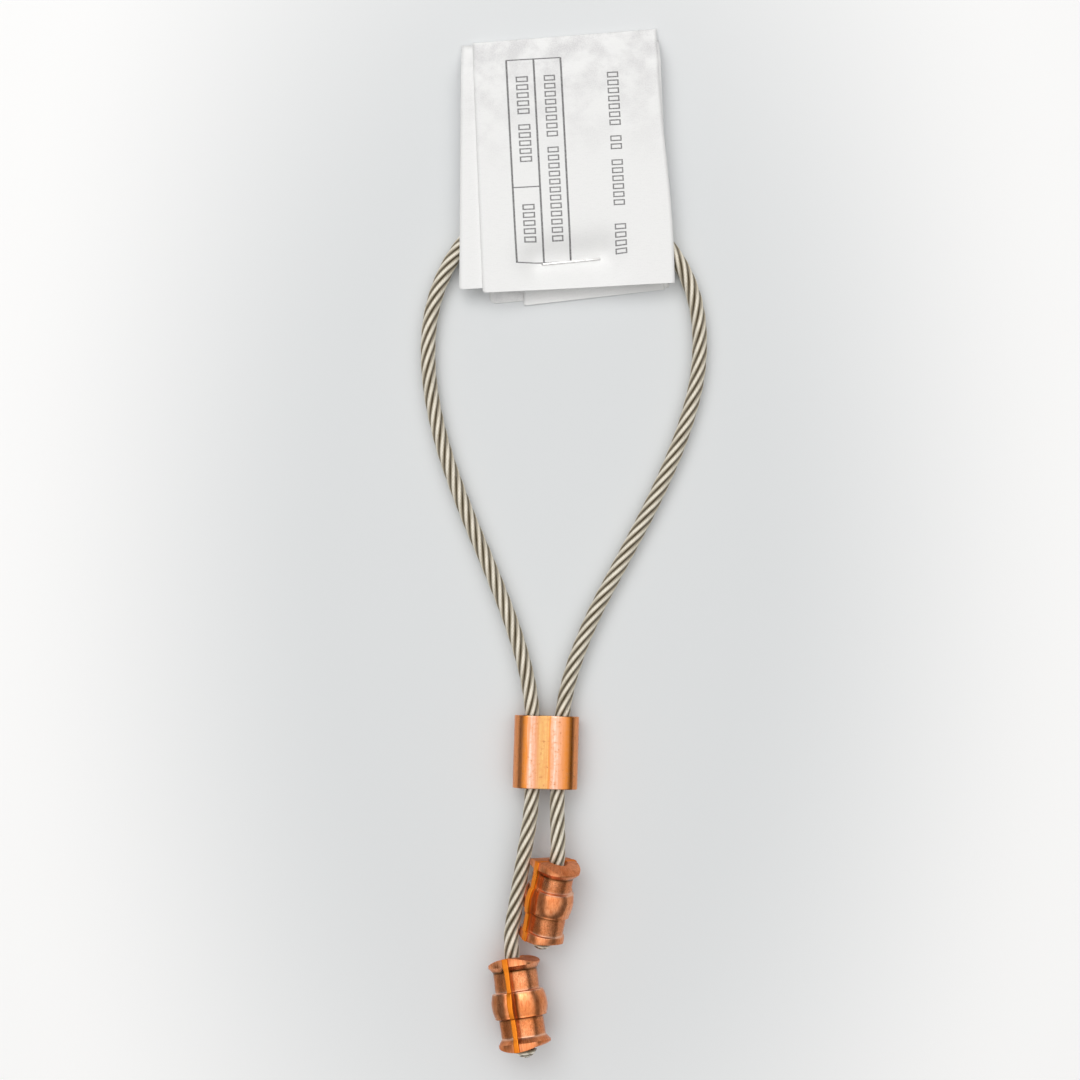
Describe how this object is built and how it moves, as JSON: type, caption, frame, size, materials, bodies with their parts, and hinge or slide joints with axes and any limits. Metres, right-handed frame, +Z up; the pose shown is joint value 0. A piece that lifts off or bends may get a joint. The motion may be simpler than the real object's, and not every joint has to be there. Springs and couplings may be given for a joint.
{
  "type": "wire rope loop with swaged heads",
  "caption": "Loop of steel wire rope with a swaged copper head on each end, a loose oval copper sleeve that slides on both legs, and a blank stapled paper leaflet folded over the loop.",
  "frame": {"origin": "middle of the object's box in X and Y, on the table that it lies on", "axes": "+X across the loop towards the shorter leg's side, +Y from the two heads towards the leaflet, +Z up from the table"},
  "size_m": [0.0607, 0.2162, 0.0135],
  "materials": {
    "wire_rope": "stranded wire, satin",
    "copper_head": "pressed copper, bright facets",
    "copper_sleeve": "drawn copper, brushed along its length",
    "leaflet_paper": "matte, faint fibres",
    "staple_wire": "bright wire"
  },
  "bodies": {
    "rope": {"rope_loop": "wire_rope"},
    "long_leg": {"long_leg_rope": "wire_rope", "long_leg_head": "copper_head"},
    "short_leg": {"short_leg_rope": "wire_rope", "short_leg_head": "copper_head"},
    "slider": {"slider_sleeve": "copper_sleeve"},
    "leaflet": {"leaflet_cover": "leaflet_paper", "leaflet_front_leaf": "leaflet_paper", "leaflet_back_leaf": "leaflet_paper", "leaflet_staple": "staple_wire"}
  },
  "joints": [
    {"name": "long_leg_flex", "type": "hinge", "parent": "rope", "child": "long_leg", "pos_m": [-0.00765, -0.0614, 0.0055], "axis": [0, 0, 1], "range_deg": [-25, 0], "stiffness_Nm_per_rad": 0.05},
    {"name": "short_leg_flex", "type": "hinge", "parent": "rope", "child": "short_leg", "pos_m": [-0.00137, -0.06125, 0.00635], "axis": [0, 0, 1], "range_deg": [0, 25], "stiffness_Nm_per_rad": 0.05},
    {"name": "slider_slide", "type": "slide", "parent": "rope", "child": "slider", "axis": [0.0296, 0.9967, -0.075], "range_m": [-0.0035, 0.0035]},
    {"name": "leaflet_slide", "type": "slide", "parent": "rope", "child": "leaflet", "axis": [0, 1, 0], "range_m": [-0.022, 0.0045]}
  ]
}
